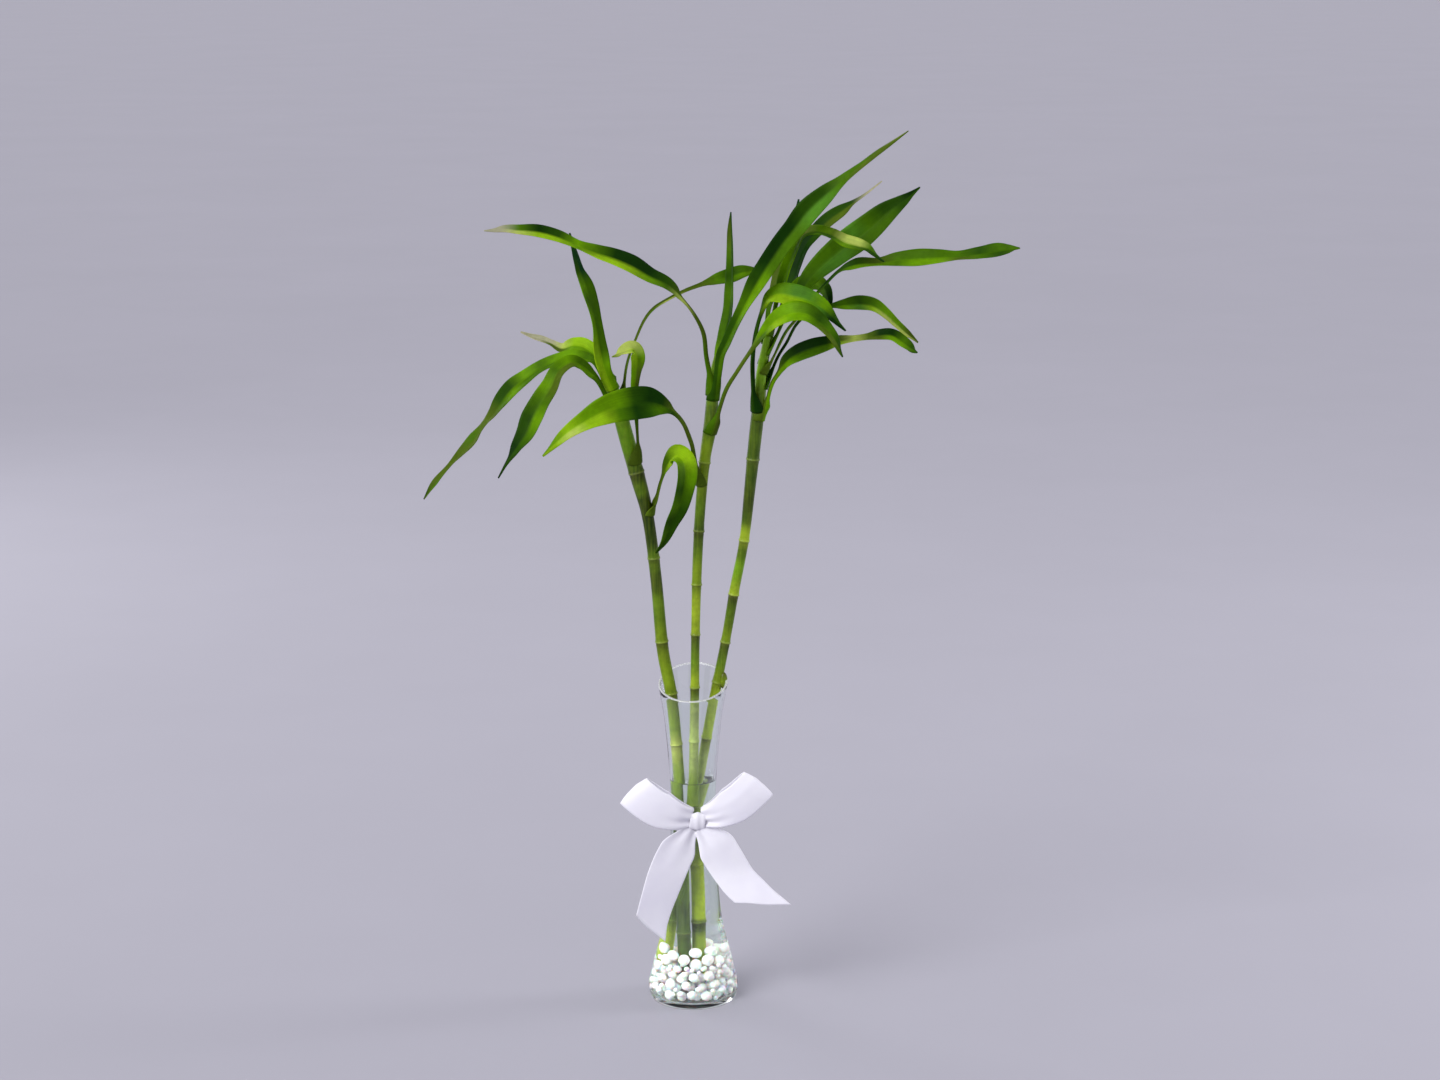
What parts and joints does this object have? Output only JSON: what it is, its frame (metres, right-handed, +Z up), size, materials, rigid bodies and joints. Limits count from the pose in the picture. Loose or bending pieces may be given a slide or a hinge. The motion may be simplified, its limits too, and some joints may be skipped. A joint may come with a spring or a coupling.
{
  "type": "lucky bamboo in a glass vase",
  "caption": "Leafy lucky bamboo stalks standing in water and white pebbles in a slender waisted clear glass vase with a slant-cut mouth and a white ribbon bow.",
  "frame": {"origin": "centre of the flat face that the vase rests on", "axes": "+Z up along the vase, +X to the viewer's right, and the front with the bow faces -Y"},
  "size_m": [0.3691, 0.1033, 0.5575],
  "materials": {
    "glass": "polished",
    "water": "polished",
    "white_pebbles": "satin",
    "ribbon_satin": "satin",
    "cane": "satin",
    "leaf": "satin"
  },
  "bodies": {
    "root": {"vase": "glass", "water": "water", "pebble_bed": "white_pebbles", "pebble_01": "white_pebbles", "pebble_02": "white_pebbles", "pebble_03": "white_pebbles", "pebble_04": "white_pebbles", "pebble_05": "white_pebbles", "pebble_06": "white_pebbles", "pebble_07": "white_pebbles", "pebble_08": "white_pebbles", "pebble_09": "white_pebbles", "pebble_10": "white_pebbles", "pebble_11": "white_pebbles", "pebble_12": "white_pebbles", "pebble_13": "white_pebbles", "pebble_14": "white_pebbles", "pebble_15": "white_pebbles", "ribbon_band": "ribbon_satin", "ribbon_knot": "ribbon_satin", "ribbon_loop_left": "ribbon_satin", "ribbon_loop_right": "ribbon_satin", "ribbon_tail_left": "ribbon_satin", "ribbon_tail_right": "ribbon_satin", "stalk_left": "cane", "stalk_middle": "cane", "stalk_right": "cane", "leaf_left_arching": "leaf", "leaf_left_curled": "leaf", "leaf_left_droop": "leaf", "leaf_left_folded": "leaf", "leaf_left_grey_tip": "leaf", "leaf_left_long": "leaf", "leaf_left_upright": "leaf", "leaf_middle_arching": "leaf", "leaf_middle_broad": "leaf", "leaf_middle_long": "leaf", "leaf_middle_low": "leaf", "leaf_middle_spike": "leaf", "leaf_right_back": "leaf", "leaf_right_droop": "leaf", "leaf_right_front": "leaf", "leaf_right_long": "leaf", "leaf_right_low": "leaf", "leaf_right_narrow": "leaf", "leaf_right_pale": "leaf", "leaf_right_upright": "leaf", "leaf_right_wide": "leaf"}
  },
  "joints": []
}
